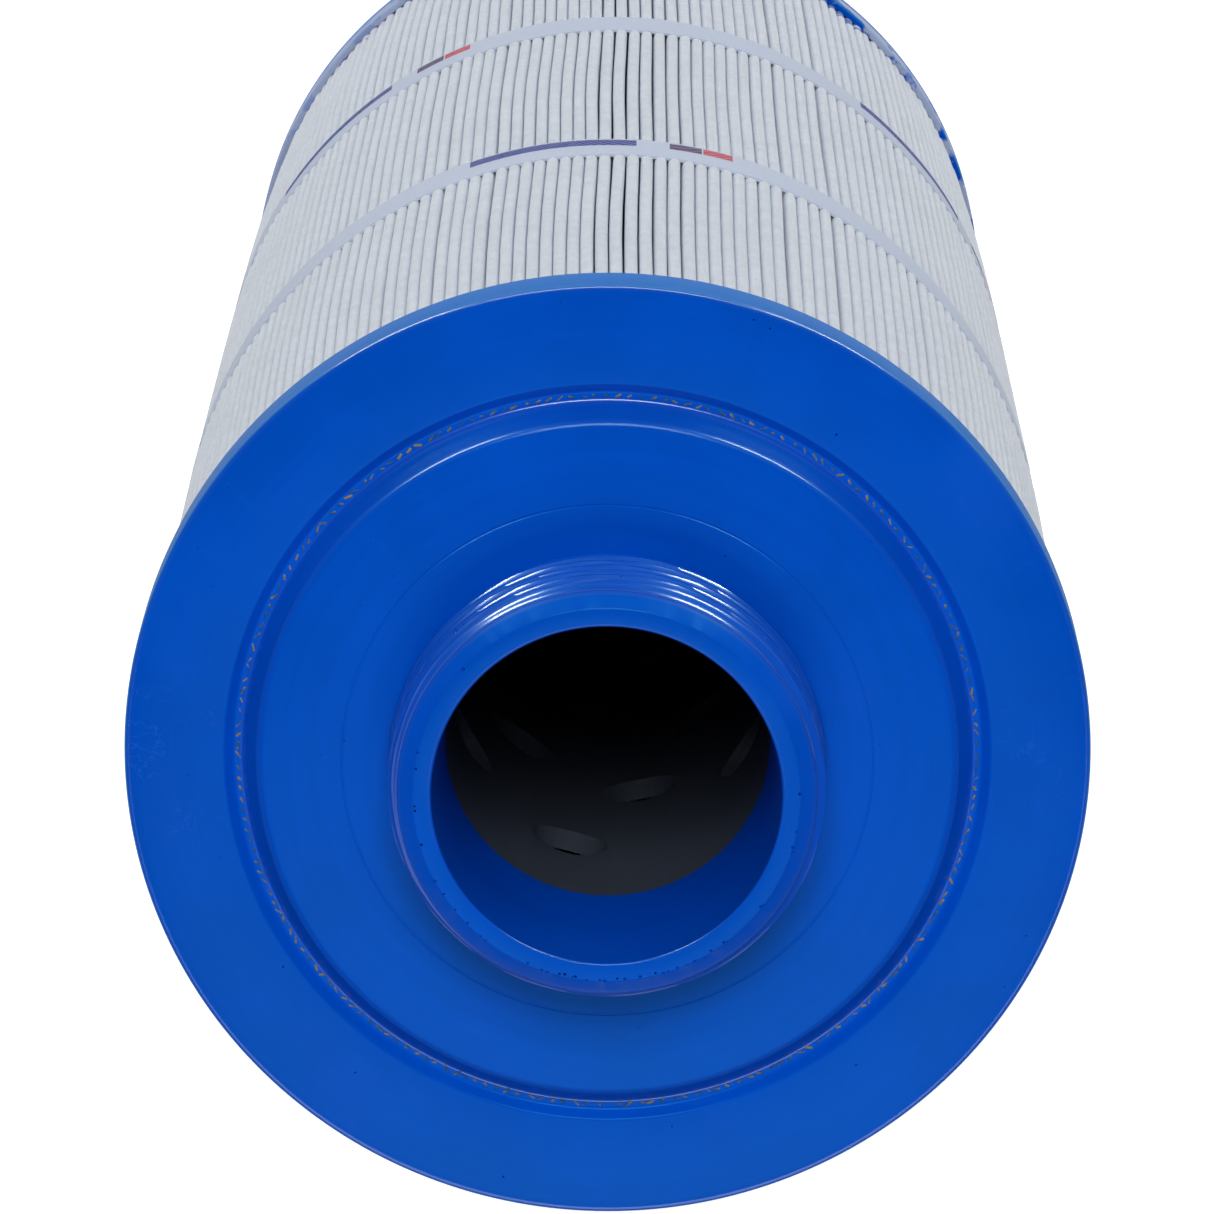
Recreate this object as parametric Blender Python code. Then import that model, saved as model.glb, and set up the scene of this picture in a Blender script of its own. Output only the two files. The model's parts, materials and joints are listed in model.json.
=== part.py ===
"""Pool and spa filter cartridge.

A pleated sheet stands round a perforated core tube. Both ends are potted in cast
polyurethane end caps: one with a threaded spigot and an open bore, the other closed.
Two strap bands, glued to the pleat tips, keep the pleats evenly spaced.

Metres, +Z up. The cartridge stands on its closed end cap, with the spigot on top,
and the origin is the middle of the face it stands on.
"""

import math

import bmesh
import bpy

# Overall sizes
BODY_LENGTH = 0.3048            # outer face to outer face of the two end caps
CAP_RADIUS = 0.0667             # outside of the threaded end cap
CAP_HEIGHT = 0.0085             # side wall of each end cap
CAP_WALL = 0.0024               # threaded cap's wall outside the pleats
CLOSED_CAP_WALL = 0.0007        # closed cap's wall outside the pleats
CLEARANCE = 0.0003              # between pieces that touch or are bonded

# Spigot with a taper pipe thread
THREAD_RADIUS = 0.03015         # crest at the first full turn
THREAD_PITCH = 0.002209
THREAD_DEPTH = 0.0013
THREAD_TAPER = 1 / 32           # radius lost per unit of height
SPIGOT_HEIGHT = 0.0186          # rim above the cap's outer face
SPIGOT_WALL = 0.00635           # thread crest to bore
SPIGOT_FILLET = 0.0005
LEAD_IN_HEIGHT = 0.0015         # plain cone between the thread and the rim
LEAD_IN_WIDTH = 0.00205
BORE_DRAFT = 0.0012             # the bore narrows by this much on its way in

# Outer faces of the caps
FACE_RING_WIDTH = 0.0138        # flat ring between the edge and the groove
GROOVE_WIDTH = 0.0025
GROOVE_FLOOR_WIDTH = 0.0013
GROOVE_DEPTH = 0.0012
INNER_SLOPE_WIDTH = 0.0023
INNER_FACE_RISE = 0.0025        # threaded cap's middle above its ring
CLOSED_FACE_RECESS = 0.0010     # closed cap's middle below its ring
EDGE_CHAMFER = 0.0004

# Insides of the caps, as depths below the outer face
TROUGH_DEPTH = 0.0035           # floor that the pleat ends stand on
SEAT_DEPTH = 0.0084             # step that the core butts against
CLOSED_SEAT_DEPTH = 0.0040
COLLAR_DEPTH = 0.0125           # end of the collar round the core
COLLAR_WALL = 0.0017

# Core tube
CORE_WALL = 0.0030
CORE_SET_BACK = 0.0004          # core's bore outside the cap's bore
HOLE_RADIUS = 0.0055
HOLES_PER_RING = 3
HOLE_SIDES = 12
FIRST_RING_DEPTH = 0.0323       # first ring of holes below the outer face
RING_PITCH = 0.0133
FIRST_HOLE_ANGLE = math.radians(-104.6)
RING_TWIST = math.radians(-47.0)

# Pleated sheet
SHEET_THICKNESS = 0.00036
INNER_GAP = 0.00015             # between the walls of a pleat at the core
TIP_GAP = 0.00067               # between neighbouring tips
FOLD_DEPTH = 0.0005             # sheet measured through a fold
SEAM_ANGLE = math.radians(-90)  # side where the sheet's two ends meet

# Bands, evenly spaced along the body
BAND_NAMES = ("rear_band", "front_band")
BAND_WIDTH = 0.0115
BAND_THICKNESS = 0.0004
GLUE_WIDTH = 0.0080
GLUE_THICKNESS = 0.0003

# Facets
CAP_SIDES = 60
RING_SIDES = 48

# Sizes that follow from those above
BORE_RADIUS = THREAD_RADIUS - SPIGOT_WALL
BORE_END_RADIUS = BORE_RADIUS - BORE_DRAFT
CORE_INNER_RADIUS = BORE_END_RADIUS + CORE_SET_BACK
CORE_RADIUS = CORE_INNER_RADIUS + CORE_WALL
SOCKET_RADIUS = CORE_RADIUS + CLEARANCE
COLLAR_RADIUS = SOCKET_RADIUS + COLLAR_WALL
PLEAT_INNER_RADIUS = COLLAR_RADIUS + CLEARANCE
SKIRT_RADIUS = CAP_RADIUS - CAP_WALL
PLEAT_RADIUS = SKIRT_RADIUS - CLEARANCE
CLOSED_CAP_RADIUS = SKIRT_RADIUS + CLOSED_CAP_WALL
RIM_HEIGHT = BODY_LENGTH + SPIGOT_HEIGHT
INNER_FACE_HEIGHT = BODY_LENGTH + INNER_FACE_RISE
THREAD_START = INNER_FACE_HEIGHT + SPIGOT_FILLET
THREAD_END = RIM_HEIGHT - LEAD_IN_HEIGHT

# The folds next to the core set how many pleats fit. One place is left for the seam.
PLACES = int(2 * math.pi * PLEAT_INNER_RADIUS / (2 * SHEET_THICKNESS + INNER_GAP))
PLACE_ANGLE = 2 * math.pi / PLACES
PLEAT_COUNT = PLACES - 1


def material(name, color, roughness, metallic=0.0):
    """Return a Principled material of one colour."""
    mat = bpy.data.materials.new(name)
    mat.use_nodes = True
    shader = mat.node_tree.nodes["Principled BSDF"]
    shader.inputs["Base Color"].default_value = (*color, 1.0)
    shader.inputs["Roughness"].default_value = roughness
    shader.inputs["Metallic"].default_value = metallic
    mat.diffuse_color = (*color, 1.0)
    return mat


def add_object(name, bm, mat, crease_degrees=30):
    """Turn a finished bmesh into a smooth-shaded object with sharp creases."""
    mesh = bpy.data.meshes.new(name)
    bmesh.ops.recalc_face_normals(bm, faces=bm.faces)
    bm.to_mesh(mesh)
    bm.free()
    mesh.shade_smooth()
    mesh.set_sharp_from_angle(angle=math.radians(crease_degrees))
    mesh.materials.append(mat)
    obj = bpy.data.objects.new(name, mesh)
    bpy.context.collection.objects.link(obj)
    return obj


def turn(bm, outline, sides, closed=True):
    """Spin an outline of (radius, height) points round the Z axis."""
    verts = [bm.verts.new((radius, 0, height)) for radius, height in outline]
    edges = [bm.edges.new(pair) for pair in zip(verts, verts[1:])]
    if closed:
        edges.append(bm.edges.new((verts[-1], verts[0])))
    bmesh.ops.spin(
        bm, geom=verts + edges, cent=(0, 0, 0), axis=(0, 0, 1),
        angle=2 * math.pi, steps=sides, use_merge=True)
    bmesh.ops.remove_doubles(bm, verts=bm.verts, dist=1e-6)


def ring_body(name, inner, outer, bottom, top, mat):
    """Add a plain ring or tube."""
    bm = bmesh.new()
    turn(bm, [(inner, bottom), (outer, bottom), (outer, top), (inner, top)], RING_SIDES)
    return add_object(name, bm, mat)


def at(radius, angle, height=0.0):
    """Return the point at a radius, an angle round Z and a height."""
    return (radius * math.cos(angle), radius * math.sin(angle), height)


def extrude_outline(bm, outline, bottom, top):
    """Fill a flat outline of points and extrude it from one height to another."""
    verts = [bm.verts.new((x, y, bottom)) for x, y, _ in outline]
    face = bm.faces.new(verts)
    extruded = bmesh.ops.extrude_face_region(bm, geom=[face])["geom"]
    moved = [item for item in extruded if isinstance(item, bmesh.types.BMVert)]
    bmesh.ops.translate(bm, verts=moved, vec=(0, 0, top - bottom))


# ---- End caps -------------------------------------------------------------

def groove_outline(ring_height, inner_height, outward):
    """Outline of a cap's outer face from its edge to the slope's inner end.

    outward is 1 where the face looks up and -1 where it looks down.
    """
    cap_radius = CAP_RADIUS if outward > 0 else CLOSED_CAP_RADIUS
    groove = CAP_RADIUS - FACE_RING_WIDTH
    floor_outer = groove - (GROOVE_WIDTH - GROOVE_FLOOR_WIDTH)
    floor_inner = groove - GROOVE_WIDTH
    floor_height = ring_height - outward * GROOVE_DEPTH
    return [
        (cap_radius, ring_height - outward * EDGE_CHAMFER),
        (cap_radius - EDGE_CHAMFER, ring_height),
        (groove, ring_height),
        (floor_outer, floor_height),
        (floor_inner, floor_height),
        (floor_inner - INNER_SLOPE_WIDTH, inner_height),
    ]


def thread_root(height):
    """Radius of the thread's root at a height."""
    return THREAD_RADIUS - THREAD_DEPTH - (height - THREAD_START) * THREAD_TAPER


def thread_point(strand, side):
    """Point on one strand of the thread: even strands are roots, odd ones crests.

    A strand climbs one pitch per turn, so after a turn it meets the strand two above.
    It is held between the thread's ends, where the crest has faded into the root.
    """
    height = THREAD_START + THREAD_PITCH * ((strand - 2) / 2 + side / CAP_SIDES)
    height = min(max(height, THREAD_START), THREAD_END)
    radius = thread_root(height)
    if strand % 2:
        fade = min(height - THREAD_START, THREAD_END - height) / THREAD_PITCH
        radius += THREAD_DEPTH * min(fade, 1.0)
    return at(radius, 2 * math.pi * side / CAP_SIDES, height)


def add_thread(bm):
    """Add the thread's surface between two plain rings of root radius."""
    turns = (THREAD_END - THREAD_START) / THREAD_PITCH
    for strand in range(2 * math.ceil(turns) + 2):
        for side in range(CAP_SIDES):
            corners = [
                thread_point(strand, side), thread_point(strand, side + 1),
                thread_point(strand + 1, side + 1), thread_point(strand + 1, side)]
            bm.faces.new([bm.verts.new(corner) for corner in corners])
    bmesh.ops.remove_doubles(bm, verts=bm.verts, dist=1e-6)
    bmesh.ops.dissolve_degenerate(bm, edges=bm.edges, dist=1e-7)


def build_threaded_end_cap():
    """Cast cap with a ring face, a groove, a raised middle and a threaded spigot."""
    seat = BODY_LENGTH - SEAT_DEPTH
    collar_end = BODY_LENGTH - COLLAR_DEPTH
    trough = BODY_LENGTH - TROUGH_DEPTH
    skirt_end = BODY_LENGTH - CAP_HEIGHT
    rim_radius = thread_root(THREAD_END) - LEAD_IN_WIDTH
    outline = [
        (thread_root(THREAD_END), THREAD_END),
        (rim_radius, RIM_HEIGHT),
        (BORE_RADIUS, RIM_HEIGHT),
        (BORE_END_RADIUS, seat),
        (SOCKET_RADIUS, seat),
        (SOCKET_RADIUS, collar_end),
        (COLLAR_RADIUS, collar_end),
        (COLLAR_RADIUS, trough),
        (SKIRT_RADIUS, trough),
        (SKIRT_RADIUS, skirt_end),
        (CAP_RADIUS - EDGE_CHAMFER, skirt_end),
        (CAP_RADIUS, skirt_end + EDGE_CHAMFER),
        *groove_outline(BODY_LENGTH, INNER_FACE_HEIGHT, 1),
        (thread_root(THREAD_START) + SPIGOT_FILLET, INNER_FACE_HEIGHT),
        (thread_root(THREAD_START), THREAD_START),
    ]
    bm = bmesh.new()
    turn(bm, outline, CAP_SIDES, closed=False)
    add_thread(bm)
    polyurethane = material("threaded_cap_polyurethane", (0.002, 0.067, 0.468), 0.35)
    return add_object("threaded_end_cap", bm, polyurethane)


def build_closed_end_cap():
    """Cast cap with the same ring and groove, a recessed middle and no opening."""
    outline = [
        (0.0, CLOSED_SEAT_DEPTH),
        (SOCKET_RADIUS, CLOSED_SEAT_DEPTH),
        (SOCKET_RADIUS, COLLAR_DEPTH),
        (COLLAR_RADIUS, COLLAR_DEPTH),
        (COLLAR_RADIUS, TROUGH_DEPTH),
        (SKIRT_RADIUS, TROUGH_DEPTH),
        (SKIRT_RADIUS, CAP_HEIGHT),
        (CLOSED_CAP_RADIUS - EDGE_CHAMFER, CAP_HEIGHT),
        (CLOSED_CAP_RADIUS, CAP_HEIGHT - EDGE_CHAMFER),
        *groove_outline(0.0, CLOSED_FACE_RECESS, -1),
        (0.0, CLOSED_FACE_RECESS),
    ]
    bm = bmesh.new()
    turn(bm, outline, CAP_SIDES, closed=False)
    polyurethane = material("closed_cap_polyurethane", (0.002, 0.060, 0.420), 0.38)
    return add_object("closed_end_cap", bm, polyurethane)


# ---- Core tube ------------------------------------------------------------

def build_core_tube():
    """Moulded tube with staggered rings of round holes cut through its wall."""
    bottom = CLOSED_SEAT_DEPTH + CLEARANCE
    top = BODY_LENGTH - SEAT_DEPTH - CLEARANCE
    plastic = material("core_plastic", (0.006, 0.006, 0.007), 0.45)
    tube = ring_body("core_tube", CORE_INNER_RADIUS, CORE_RADIUS, bottom, top, plastic)

    drills = bmesh.new()
    overrun = CORE_WALL
    drill_length = CORE_WALL + 2 * overrun
    drill_centre = CORE_INNER_RADIUS + CORE_WALL / 2
    rings = 1 + int((BODY_LENGTH - 2 * FIRST_RING_DEPTH) / RING_PITCH)
    for ring in range(rings):
        height = BODY_LENGTH - FIRST_RING_DEPTH - ring * RING_PITCH
        for hole in range(HOLES_PER_RING):
            angle = FIRST_HOLE_ANGLE + ring * RING_TWIST + hole * 2 * math.pi / HOLES_PER_RING
            add_drill(drills, angle, drill_centre, height, drill_length)
    cutter = add_object("core_hole_drills", drills, plastic)
    cutter.hide_render = True
    cutter.display_type = "WIRE"
    cut = tube.modifiers.new("holes", "BOOLEAN")
    cut.operation = "DIFFERENCE"
    cut.solver = "EXACT"
    cut.object = cutter
    return tube


def add_drill(bm, angle, centre, height, length):
    """Add a cylinder that points out from the Z axis at an angle and a height."""
    made = bmesh.ops.create_cone(
        bm, cap_ends=True, segments=HOLE_SIDES,
        radius1=HOLE_RADIUS, radius2=HOLE_RADIUS, depth=length)
    verts = made["verts"]
    for vert in verts:
        across, up, along = vert.co
        radius = centre + along
        vert.co = (
            radius * math.cos(angle) - across * math.sin(angle),
            radius * math.sin(angle) + across * math.cos(angle),
            height + up)


# ---- Pleated sheet --------------------------------------------------------

def pleat_outline():
    """Section through the sheet: out along its outer side, back along its inner side.

    The tips are flat and the folds next to the core are flat too, so each wall of the
    sheet is a straight strip between them.
    """
    tip = (2 * math.pi * PLEAT_RADIUS / PLACES - TIP_GAP) / (2 * PLEAT_RADIUS)
    fold = SHEET_THICKNESS / PLEAT_INNER_RADIUS
    half = PLACE_ANGLE / 2
    valley_radius = PLEAT_INNER_RADIUS + FOLD_DEPTH
    start = SEAM_ANGLE + PLACE_ANGLE
    outer_side = [at(valley_radius, start - half)]
    inner_side = [at(PLEAT_INNER_RADIUS, start - half + fold)]
    for pleat in range(PLEAT_COUNT):
        middle = start + pleat * PLACE_ANGLE
        outer_side.append(at(PLEAT_RADIUS, middle - tip))
        outer_side.append(at(PLEAT_RADIUS, middle + tip))
        outer_side.append(at(valley_radius, middle + half))
        inner_side.append(at(PLEAT_RADIUS - FOLD_DEPTH, middle))
        inner_side.append(at(PLEAT_INNER_RADIUS, middle + half - fold))
        if pleat < PLEAT_COUNT - 1:
            inner_side.append(at(PLEAT_INNER_RADIUS, middle + half + fold))
    return outer_side + inner_side[::-1]


def build_pleated_media():
    """Pleated sheet from the floor of one cap's trough to the floor of the other's."""
    bm = bmesh.new()
    bottom = TROUGH_DEPTH + CLEARANCE
    extrude_outline(bm, pleat_outline(), bottom, BODY_LENGTH - bottom)
    polyester = material("pleated_polyester", (0.60, 0.63, 0.72), 0.85)
    return add_object("pleated_media", bm, polyester)


def build_media_seam_bead():
    """Wedge of hot-melt glue between the sheet's two ends."""
    inner_half = math.pi * PLEAT_INNER_RADIUS / PLACES - CLEARANCE
    place = 2 * math.pi * PLEAT_RADIUS / PLACES
    outer_half = place - (place - TIP_GAP) / 2 - 2 * CLEARANCE
    inner_radius = PLEAT_INNER_RADIUS + FOLD_DEPTH
    outline = [
        at(inner_radius, SEAM_ANGLE - inner_half / inner_radius),
        at(PLEAT_RADIUS, SEAM_ANGLE - outer_half / PLEAT_RADIUS),
        at(PLEAT_RADIUS, SEAM_ANGLE + outer_half / PLEAT_RADIUS),
        at(inner_radius, SEAM_ANGLE + inner_half / inner_radius),
    ]
    bm = bmesh.new()
    bottom = TROUGH_DEPTH + CLEARANCE
    extrude_outline(bm, outline, bottom, BODY_LENGTH - bottom)
    glue = material("seam_glue", (0.70, 0.66, 0.52), 0.4)
    return add_object("media_seam_bead", bm, glue)


# ---- Bands ----------------------------------------------------------------

def build_bands():
    """Strap bands round the pleat tips, each on its ring of hot-melt glue."""
    glue_inner = PLEAT_RADIUS + CLEARANCE
    glue_outer = glue_inner + GLUE_THICKNESS
    band_inner = glue_outer + CLEARANCE
    band_outer = band_inner + BAND_THICKNESS
    strap = material("band_strap", (0.47, 0.53, 0.66), 0.6)
    glue = material("band_glue", (0.70, 0.66, 0.52), 0.4)
    for place, name in enumerate(BAND_NAMES, start=1):
        middle = BODY_LENGTH * place / (len(BAND_NAMES) + 1)
        ring_body(
            name + "_glue", glue_inner, glue_outer,
            middle - GLUE_WIDTH / 2, middle + GLUE_WIDTH / 2, glue)
        ring_body(
            name, band_inner, band_outer,
            middle - BAND_WIDTH / 2, middle + BAND_WIDTH / 2, strap)


for old in list(bpy.data.objects):
    bpy.data.objects.remove(old, do_unlink=True)

build_threaded_end_cap()
build_closed_end_cap()
build_core_tube()
build_pleated_media()
build_media_seam_bead()
build_bands()
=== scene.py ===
import json
import math
import random

import bpy
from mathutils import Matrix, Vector


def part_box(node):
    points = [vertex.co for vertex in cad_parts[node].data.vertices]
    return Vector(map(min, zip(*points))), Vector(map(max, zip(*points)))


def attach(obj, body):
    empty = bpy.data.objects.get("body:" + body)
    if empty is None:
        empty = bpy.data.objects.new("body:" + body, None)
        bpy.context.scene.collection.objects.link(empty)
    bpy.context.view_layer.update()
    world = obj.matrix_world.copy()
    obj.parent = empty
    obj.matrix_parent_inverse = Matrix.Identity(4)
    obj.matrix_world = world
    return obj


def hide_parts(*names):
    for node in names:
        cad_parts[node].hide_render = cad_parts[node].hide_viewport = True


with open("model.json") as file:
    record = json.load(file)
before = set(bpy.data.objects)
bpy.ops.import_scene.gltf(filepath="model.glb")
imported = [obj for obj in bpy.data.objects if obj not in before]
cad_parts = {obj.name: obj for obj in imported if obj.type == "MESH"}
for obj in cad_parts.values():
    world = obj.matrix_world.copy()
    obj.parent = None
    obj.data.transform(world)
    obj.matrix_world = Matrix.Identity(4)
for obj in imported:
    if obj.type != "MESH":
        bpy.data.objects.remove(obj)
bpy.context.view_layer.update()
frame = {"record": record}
mounts = {mount["name"]: mount["pos_m"] for mount in frame["record"]["mounts"]}
bpy.ops.object.select_all(action="DESELECT")


# ---- Camera ------------------------------------------------------------------
# A long lens above the spigot and a little to its +Y side, so that the near cap fills
# the view and the pleats run away behind it.

FACE_HEIGHT = mounts["shoulder_face"][2]

camera_data = bpy.data.cameras.new("camera")
camera_data.lens = 202.06
camera_data.sensor_width = 36
camera_data.clip_end = 20
camera = bpy.data.objects.new("camera", camera_data)
camera.location = (0.0057, 0.2685, FACE_HEIGHT + 0.9013)
camera.rotation_euler = (math.radians(-15.325), math.radians(0.339), math.radians(-0.089))
bpy.context.scene.collection.objects.link(camera)
bpy.context.scene.camera = camera


# ---- Threaded end cap --------------------------------------------------------
# The open end is cast in blue polyurethane in an open mould. Its ring, groove and
# spigot take the mould's turning marks, and small bubbles stay as pinholes.

CAP_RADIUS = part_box("threaded_end_cap")[1].x
CAP_WALL_HEIGHT = 0.0085
RIM_HEIGHT = mounts["spigot_rim"][2]
SKIRT_RADIUS = CAP_RADIUS - 0.0024
GROOVE_RADIUS = CAP_RADIUS - 0.0138
GROOVE_FLOOR = (GROOVE_RADIUS - 0.0025, GROOVE_RADIUS - 0.0012)
GROOVE_DEPTH = 0.0012
INNER_FACE_RADIUS = GROOVE_RADIUS - 0.0048
INNER_FACE_RISE = 0.0025
WITNESS_RADIUS = 0.0366          # a fine line that the mould leaves round the spigot
WITNESS_HALF = 0.00016
WITNESS_DEPTH = 0.00007
THREAD_RADIUS = 0.03015
THREAD_DEPTH = 0.0013
THREAD_PITCH = 0.002209
THREAD_TAPER = 1 / 32
THREAD_FLANK = 1.22              # above 1, the flanks stop short and leave a flat crest
THREAD_START = FACE_HEIGHT + INNER_FACE_RISE + 0.0005
THREAD_END = RIM_HEIGHT - 0.0015
THREAD_ROW = 0.00018
LEAD_IN_WIDTH = 0.00205
BORE_RADIUS = 0.0238
BORE_END_RADIUS = 0.0226
CORE_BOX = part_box("core_tube")
SOCKET_RADIUS = CORE_BOX[1].x + 0.0003
COLLAR_RADIUS = SOCKET_RADIUS + 0.0017
COLLAR_DEPTH = 0.0125
SEAT_DEPTH = 0.0084
TROUGH_DEPTH = 0.0035
CAP_SIDES = 256
CORNER_STEPS = 4
MERGE_DISTANCE = 2e-6
CREASE = 32                      # degrees, above which an edge is shaded sharp
RIM_RAGGED = 0.00003
RIM_BUBBLES = (54, 0.00016, 0.00027)        # how many, smallest and largest radius
THREAD_BUBBLES = (16, 0.00014, 0.00034)
RING_BUBBLES = (26, 0.00007, 0.00016)
FACE_BUBBLES = (14, 0.00007, 0.00016)
BUBBLE_SINK = 0.45               # share of its radius that a bubble's middle lies deep
BUBBLE_GAP = 1.1                 # distance between middles, in sums of two radii
THREADED_BLUE = (0.0, 0.074, 0.555)
WALL_REFLECTION_BLUE = (0.010, 0.150, 0.50)
PIT_SHADE_BLUE = (0.0, 0.006, 0.05)


def soften(outline):
    """Round each corner of an outline of (radius, height, rounding) points."""
    rounded = []
    for index, (radius, height, rounding) in enumerate(outline):
        if not rounding:
            rounded.append((radius, height))
            continue
        ends = []
        for other in (outline[index - 1], outline[(index + 1) % len(outline)]):
            away = math.hypot(other[0] - radius, other[1] - height)
            share = rounding / away
            ends.append((radius + (other[0] - radius) * share,
                         height + (other[1] - height) * share))
        (r0, h0), (r1, h1) = ends
        for step in range(CORNER_STEPS + 1):
            t = step / CORNER_STEPS
            start, middle, end = (1 - t) ** 2, 2 * t * (1 - t), t ** 2
            rounded.append((start * r0 + middle * radius + end * r1,
                            start * h0 + middle * height + end * h1))
    return rounded


def turned(name, outline, sides, round_trip=True):
    """Extrude a circle along an outline of (radius, height) points.

    It goes round to its start, or else its two ends are filled with discs.
    """
    radius, height = outline[0]
    bpy.ops.mesh.primitive_circle_add(vertices=sides, radius=radius, location=(0, 0, height))
    piece = bpy.context.object
    piece.name = name
    bpy.ops.object.transform_apply(location=True)
    bpy.ops.object.mode_set(mode="EDIT")
    bpy.ops.mesh.select_all(action="SELECT")
    stops = outline[1:] + outline[:1] if round_trip else outline[1:]
    for next_radius, next_height in stops:
        bpy.ops.mesh.extrude_region_move(
            TRANSFORM_OT_translate={"value": (0, 0, next_height - height)})
        growth = next_radius / radius
        bpy.ops.transform.resize(
            value=(growth, growth, 1), center_override=(0, 0, next_height))
        radius, height = next_radius, next_height
    if not round_trip:
        bpy.ops.mesh.select_all(action="SELECT")
        bpy.ops.mesh.fill_holes(sides=0)
    finish_edit()
    return piece


def finish_edit(crease=CREASE):
    """Merge what meets, turn every face outwards and leave edit mode."""
    bpy.ops.mesh.select_all(action="SELECT")
    bpy.ops.mesh.remove_doubles(threshold=MERGE_DISTANCE)
    bpy.ops.mesh.normals_make_consistent(inside=False)
    bpy.ops.object.mode_set(mode="OBJECT")
    bpy.ops.object.shade_smooth_by_angle(angle=math.radians(crease))


def thread_root(height):
    """Radius at the bottom of the thread's groove, which tapers towards the rim."""
    return THREAD_RADIUS - THREAD_DEPTH - (height - THREAD_START) * THREAD_TAPER


def thread_ridge(angle, height):
    """How far the thread stands above its root: one ridge that climbs a pitch a turn."""
    phase = ((height - THREAD_START) / THREAD_PITCH - angle / (2 * math.pi)) % 1
    ridge = min(1.0, THREAD_FLANK * (1 - abs(2 * phase - 1)))
    run_in = min(1.0, (height - THREAD_START) / THREAD_PITCH * 2)
    run_out = min(1.0, (THREAD_END - height) / THREAD_PITCH * 1.3)
    return THREAD_DEPTH * ridge * max(0.0, min(run_in, run_out))


random.seed(3)
thread_rows = math.ceil((THREAD_END - THREAD_START) / THREAD_ROW)
thread_wall = []
for row in range(thread_rows + 1):
    row_height = THREAD_START + (THREAD_END - THREAD_START) * row / thread_rows
    thread_wall.append((thread_root(row_height), row_height, 0))
rim_radius = thread_root(THREAD_END) - LEAD_IN_WIDTH
inner_face = FACE_HEIGHT + INNER_FACE_RISE
wall_end = FACE_HEIGHT - CAP_WALL_HEIGHT
cap_outline = soften([
    *thread_wall,
    (rim_radius, RIM_HEIGHT, 0.0002),
    (BORE_RADIUS, RIM_HEIGHT, 0.0004),
    (BORE_END_RADIUS, FACE_HEIGHT - SEAT_DEPTH, 0.0002),
    (SOCKET_RADIUS, FACE_HEIGHT - SEAT_DEPTH, 0),
    (SOCKET_RADIUS, FACE_HEIGHT - COLLAR_DEPTH, 0.0003),
    (COLLAR_RADIUS, FACE_HEIGHT - COLLAR_DEPTH, 0.0003),
    (COLLAR_RADIUS, FACE_HEIGHT - TROUGH_DEPTH, 0),
    (SKIRT_RADIUS, FACE_HEIGHT - TROUGH_DEPTH, 0),
    (SKIRT_RADIUS, wall_end, 0.0004),
    (CAP_RADIUS, wall_end, 0.0008),
    (CAP_RADIUS, FACE_HEIGHT, 0.0005),
    (GROOVE_RADIUS, FACE_HEIGHT, 0.00025),
    (GROOVE_FLOOR[1], FACE_HEIGHT - GROOVE_DEPTH, 0.0003),
    (GROOVE_FLOOR[0], FACE_HEIGHT - GROOVE_DEPTH, 0.0003),
    (INNER_FACE_RADIUS, inner_face, 0.0007),
    (WITNESS_RADIUS + WITNESS_HALF, inner_face, 0),
    (WITNESS_RADIUS + WITNESS_HALF / 2, inner_face - WITNESS_DEPTH, 0),
    (WITNESS_RADIUS - WITNESS_HALF / 2, inner_face - WITNESS_DEPTH, 0),
    (WITNESS_RADIUS - WITNESS_HALF, inner_face, 0),
    (thread_root(THREAD_START) + 0.0007, inner_face, 0.0003),
])
threaded_cap = turned("threaded_cap", cap_outline, CAP_SIDES)

for vert in threaded_cap.data.vertices:
    x, y, z = vert.co
    radius = math.hypot(x, y)
    if THREAD_START < z < THREAD_END and abs(radius - thread_root(z)) < 1e-5:
        grown = 1 + thread_ridge(math.atan2(y, x), z) / radius
        vert.co = (x * grown, y * grown, z)
    elif z > THREAD_END and abs(radius - rim_radius) < 0.00025:
        ragged = 1 + random.uniform(-RIM_RAGGED, RIM_RAGGED) / radius
        vert.co = (x * ragged, y * ragged, z)


def open_bubbles(piece, bubbles):
    """Cut round bubbles into a casting, each given as (radius, angle, height, size).

    One that would touch another is left out.
    """
    bpy.ops.object.select_all(action="DESELECT")
    balls = []
    taken = []
    for radius, angle, height, size in bubbles:
        spot = Vector((radius * math.cos(angle), radius * math.sin(angle),
                       height - size * BUBBLE_SINK))
        if any((spot - other).length < BUBBLE_GAP * (size + other_size)
               for other, other_size in taken):
            continue
        taken.append((spot, size))
        bpy.ops.mesh.primitive_ico_sphere_add(subdivisions=2, radius=size, location=spot)
        balls.append(bpy.context.object)
    for ball in balls:
        ball.select_set(True)
    bpy.ops.object.join()
    cutter = bpy.context.object
    bpy.ops.object.select_all(action="DESELECT")
    bpy.context.view_layer.objects.active = piece
    cut = piece.modifiers.new("bubbles", "BOOLEAN")
    cut.object = cutter
    bpy.ops.object.modifier_apply(modifier="bubbles")
    bpy.data.objects.remove(cutter)
    piece.select_set(True)
    bpy.ops.object.shade_smooth_by_angle(angle=math.radians(CREASE))


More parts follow.
